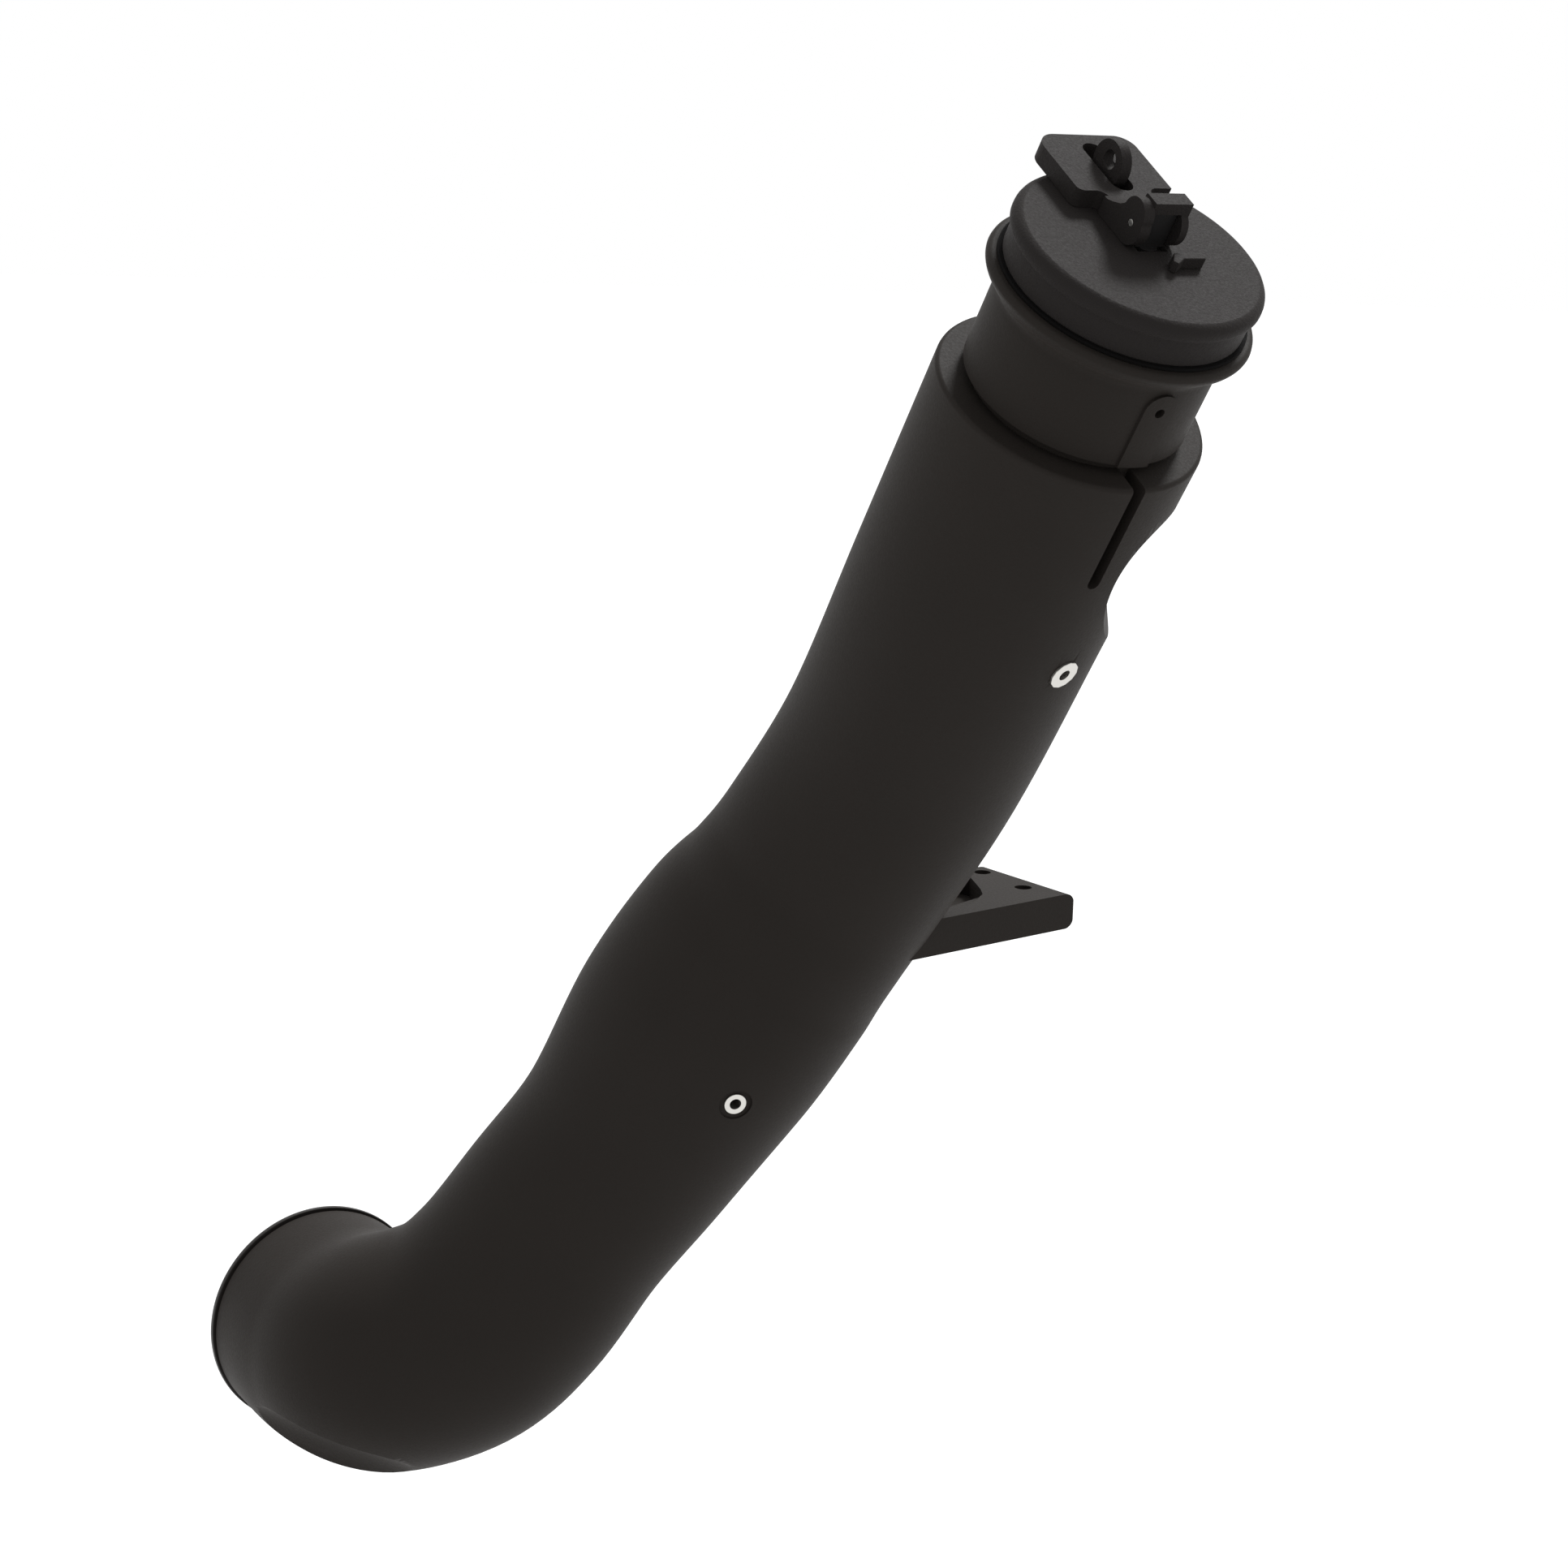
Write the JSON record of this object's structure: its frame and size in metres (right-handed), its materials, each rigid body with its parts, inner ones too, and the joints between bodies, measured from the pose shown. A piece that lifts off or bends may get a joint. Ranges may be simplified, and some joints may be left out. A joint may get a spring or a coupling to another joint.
{
  "type": "raised air intake",
  "caption": "Raised air-intake snorkel tube with a side bracket, an elbowed outlet and a lockable cam-lever expansion cap on its neck.",
  "frame": {"origin": "midway between the two bracket holes, on the bracket's top face", "axes": "+X along the lever's hinge pin, +Y the way the outlet faces, +Z the normal of the bracket's top face and up"},
  "size_m": [0.3601, 0.4558, 0.6663],
  "materials": {
    "moulding": "satin black with a fine grain",
    "outlet_trim": "smooth black",
    "seal_rubber": "dull",
    "bare_insert": "turned",
    "cap_plastic": "fine textured black",
    "dark_steel": "black coated",
    "zinc_steel": "zinc plated"
  },
  "bodies": {
    "tube": {"tube_body": "moulding", "side_bracket": "moulding", "outlet_ring": "outlet_trim", "outlet_seal": "seal_rubber", "neck_sleeve": "moulding", "upper_insert": "bare_insert", "lower_insert": "bare_insert"},
    "cap": {"cap_body": "cap_plastic", "cap_hub": "cap_plastic", "cap_gasket": "seal_rubber", "expansion_ring": "seal_rubber", "staple": "cap_plastic", "staple_screw_l": "zinc_steel", "staple_screw_r": "zinc_steel", "stop_lug": "cap_plastic"},
    "bolt": {"eye_bolt": "dark_steel", "hinge_pin": "zinc_steel", "pressure_plate": "dark_steel", "plate_washer": "zinc_steel", "lock_nut": "zinc_steel"},
    "lever": {"cam_lever": "cap_plastic"}
  },
  "joints": [
    {"name": "cap_lift", "type": "slide", "parent": "tube", "child": "cap", "axis": [0, -0.5592, 0.829], "range_m": [0, 0.09]},
    {"name": "bolt_drop", "type": "slide", "parent": "cap", "child": "bolt", "axis": [0, 0.5592, -0.829], "range_m": [0, 0.0017]},
    {"name": "lever_hinge", "type": "hinge", "parent": "bolt", "child": "lever", "pos_m": [-0.09475, -0.21488, 0.32569], "axis": [1, 0, 0], "range_deg": [0, 100]}
  ],
  "couplings": [
    {"joint": "lever_hinge", "follows": "bolt_drop", "rad_per_m": 1020.4}
  ]
}
